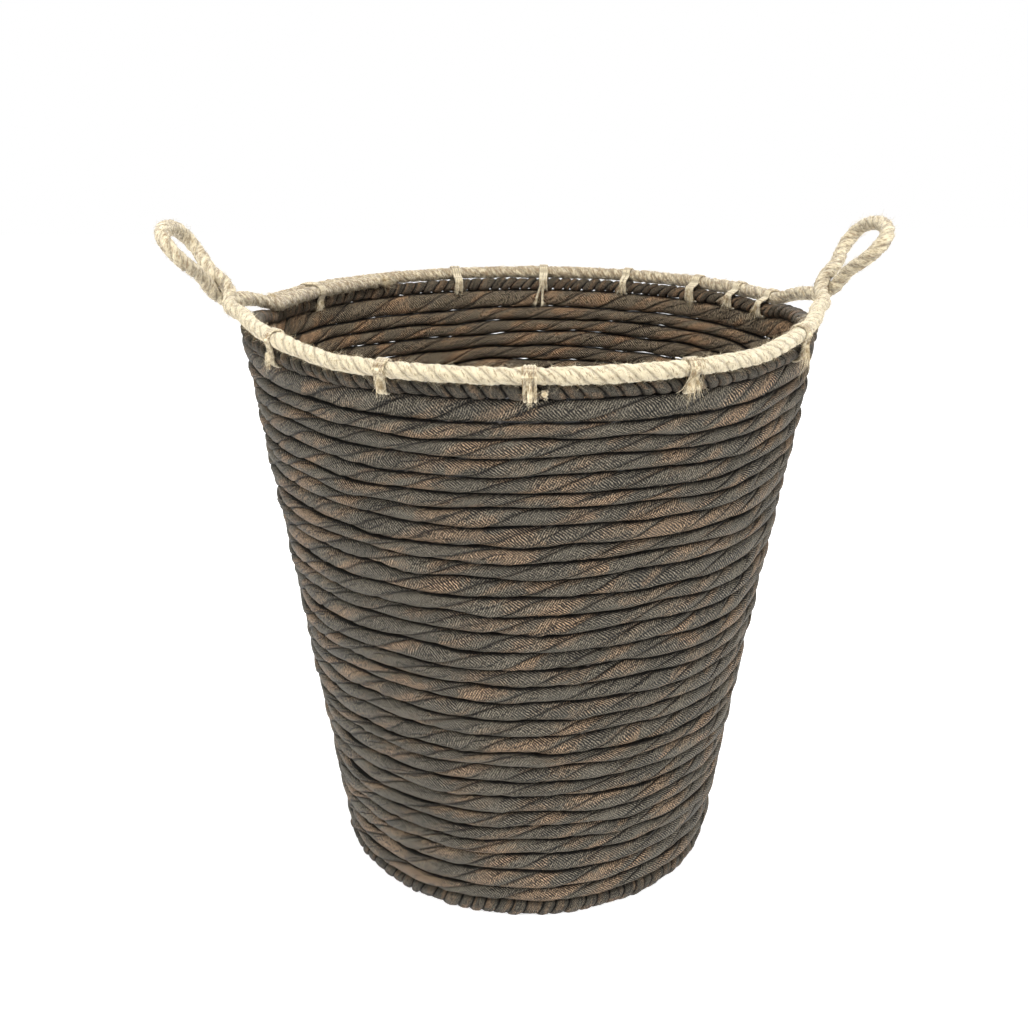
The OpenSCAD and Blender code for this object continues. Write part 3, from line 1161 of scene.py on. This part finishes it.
def makeTies():
    for number, degrees in enumerate(tie["angles"]):
        outline = tieTurn(degrees)
        centre = outline[0][1]
        for k in range(tie["turns"]):
            shift = (k - (tie["turns"] - 1) / 2) * tie["spread"] + tieRng.normal(0, 0.05)
            lean = tieRng.normal(0, 0.22) / (20 * mm)
            points = [radialPlace(degrees + shift + lean * (z - centre), q, z) for q, z in outline]
            addYarn(points, f"tie_{number}_{k}", closed=True)


# Loose strands that cover the outer half of a tie, from the top of the rope to the foot of the band
def addStrands(degrees, count, wide, fan):
    outline = [radialPlace(degrees, q, z) for q, z in tieTurn(degrees)[:7]]
    path, _ = evenLine(np.array(outline), tie["step"] / 2)
    path = path[np.linspace(0, len(path) - 1, 7).astype(int)]
    sideways = away(degrees, 1.0, 0.0, 0.0)
    outwards = away(degrees, 0.0, 0.0, 1.0)
    along = np.linspace(0, 1, 7)[:, None]
    for k in range(count):
        start = tieRng.normal(0, wide)
        spread = start + tieRng.normal(0, fan) * along ** 2
        puff = abs(tieRng.normal(0.7 * mm, 0.7 * mm))
        reach = tieRng.uniform(0.7, 1.0)
        bulge = np.sin(along * math.pi * 0.8) * puff + 0.25 * mm
        line = path.copy()
        line[3:] = path[0] + (path[3:] - path[0]) * reach
        tieStrands.append(line + sideways * spread + outwards * bulge)


def outerFoot(degrees, out=2.4 * mm, down=0.0):
    lift = wall["handleLift"] * float(riseToHandle(np.array(math.radians(degrees - 90))))
    z = rimLow.z + lift + 4 * mm - down
    return radialPlace(degrees, wallRadius(z) + rowDiameter / 2 + out, z)


def innerTop(degrees, down=0.0):
    z = rope["ropeHeight"] - 4 * mm - down
    return radialPlace(degrees, wallRadius(rimLow.z) - rowDiameter / 2 - 2.2 * mm, z)


def away(degrees, sideways=0.0, down=-1.0, out=0.25):
    a = math.radians(degrees)
    return np.array([out * math.sin(a) + sideways * math.cos(a),
                     -out * math.cos(a) + sideways * math.sin(a), down])


# Short brushes over the band at the front: angle, place out and up in mm, the angle and sideways
# lean of their way, length in mm, spread, count of fibres and width in mm
frontBrushes = [
    (23.1, 2.2, 5, 23, -0.30, 10, 0.24, 60, 1.0),
    (23.9, 2.2, 5, 24, 0.25, 9, 0.22, 40, 1.0),
    (-4, 2.0, 5, -4, 0.05, 8, 0.14, 60, 2.6),
    (-29, 2.0, 5, -29, 0.15, 8, 0.10, 50, 1.8),
    (-56, 2.0, 4, -56, 0.05, 8, 0.10, 40, 1.8),
    (55, 2.2, 6, 55, -0.55, 14, 0.14, 60, 1.6),
]


def makeTieEnds():
    for degrees, out, up, facing, lean, length, spread, count, width in frontBrushes:
        root = outerFoot(degrees, out * mm, -up * mm)
        addBrush(root, away(facing, lean), length * mm, spread, count, width * mm)
    for degrees in tie["angles"]:
        fanned = degrees in tie["fanned"]
        fan = 2.4 * mm if degrees == tie["widest"] else 0.9 * mm
        addStrands(degrees, 50 if fanned else 30, 1.9 * mm if fanned else 1.2 * mm, fan)
    # the cut end of a tie pokes out beside the front one
    stubFoot = outerFoot(-1.7, -2.5 * mm, -0.5 * mm)
    stubTip = outerFoot(-1.7, 1.6 * mm, 0.0)
    addYarn([stubFoot, (stubFoot + stubTip) / 2, stubTip], "tie_stub", thick=3.6 * mm)
    addBrush(stubTip, away(-1.7, 0, -0.1, 1.0), 1.8 * mm, 0.5, 60, width=2.4 * mm)
    # inside at the back: hanging ends and brushes
    top = innerTop(172)
    for sideways, length in ((0.32, 17), (0.02, 18)):
        way = away(172, sideways, -1.0, -0.10)
        tip = top + way * length * mm
        addYarn([top, top + way * length * 0.5 * mm + [0, 0, 0.4 * mm], tip], f"tie_end_{sideways}")
        addBrush(tip, way, 4 * mm, 0.25, 26)
    for degrees in (194.5, 150.5, 131, 118, 106, 237.5):
        top = innerTop(degrees)
        addBrush(top, away(degrees, tieRng.normal(0, 0.25), -1.0, -0.15), 9 * mm, 0.25, 40)
        addBrush(top, away(degrees, tieRng.normal(0, 0.4), -0.8, -0.2), 7 * mm, 0.3, 24)
    end = innerTop(194.5, 1 * mm)
    for sideways in (-0.15, 0.2):
        tip = end + away(194.5, sideways, -1.0, -0.1) * 8 * mm
        addYarn([end, (end + tip) / 2, tip], f"tie_short_{sideways}")
        addBrush(tip, away(194.5, sideways), 3 * mm, 0.25, 16)
    # the rope's own two ends
    for at, toward in ((0, -1), (len(ropeLine) - 1, 1)):
        for k in range(5):
            root = ropeLine[at] + tieRng.normal(0, 2.0 * mm, 3)
            way = toward * ropeAhead[at] + tieRng.normal(0, 0.12, 3)
            addBrush(root, way, 9 * mm, 0.22, 60, 2.6 * mm)


def joinPieces(pieces, name):
    clearSelection()
    for piece in pieces:
        piece.select_set(True)
    bpy.context.view_layer.objects.active = pieces[0]
    bpy.ops.object.join()
    joined = bpy.context.object
    joined.name = name
    return joined


makeTies()
makeTieEnds()
ties = joinPieces(tiePieces, "jute_ties")
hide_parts("rim_ties")
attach(ties, "basket")
for name, paths, thick in (("jute_tie_brushes", tieHairs, tie["brushThick"]),
                           ("jute_tie_strands", tieStrands, tie["strandThick"])):
    brushes = hairMesh(name, paths, thick)
    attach(brushes, "basket")
print("ties ready")
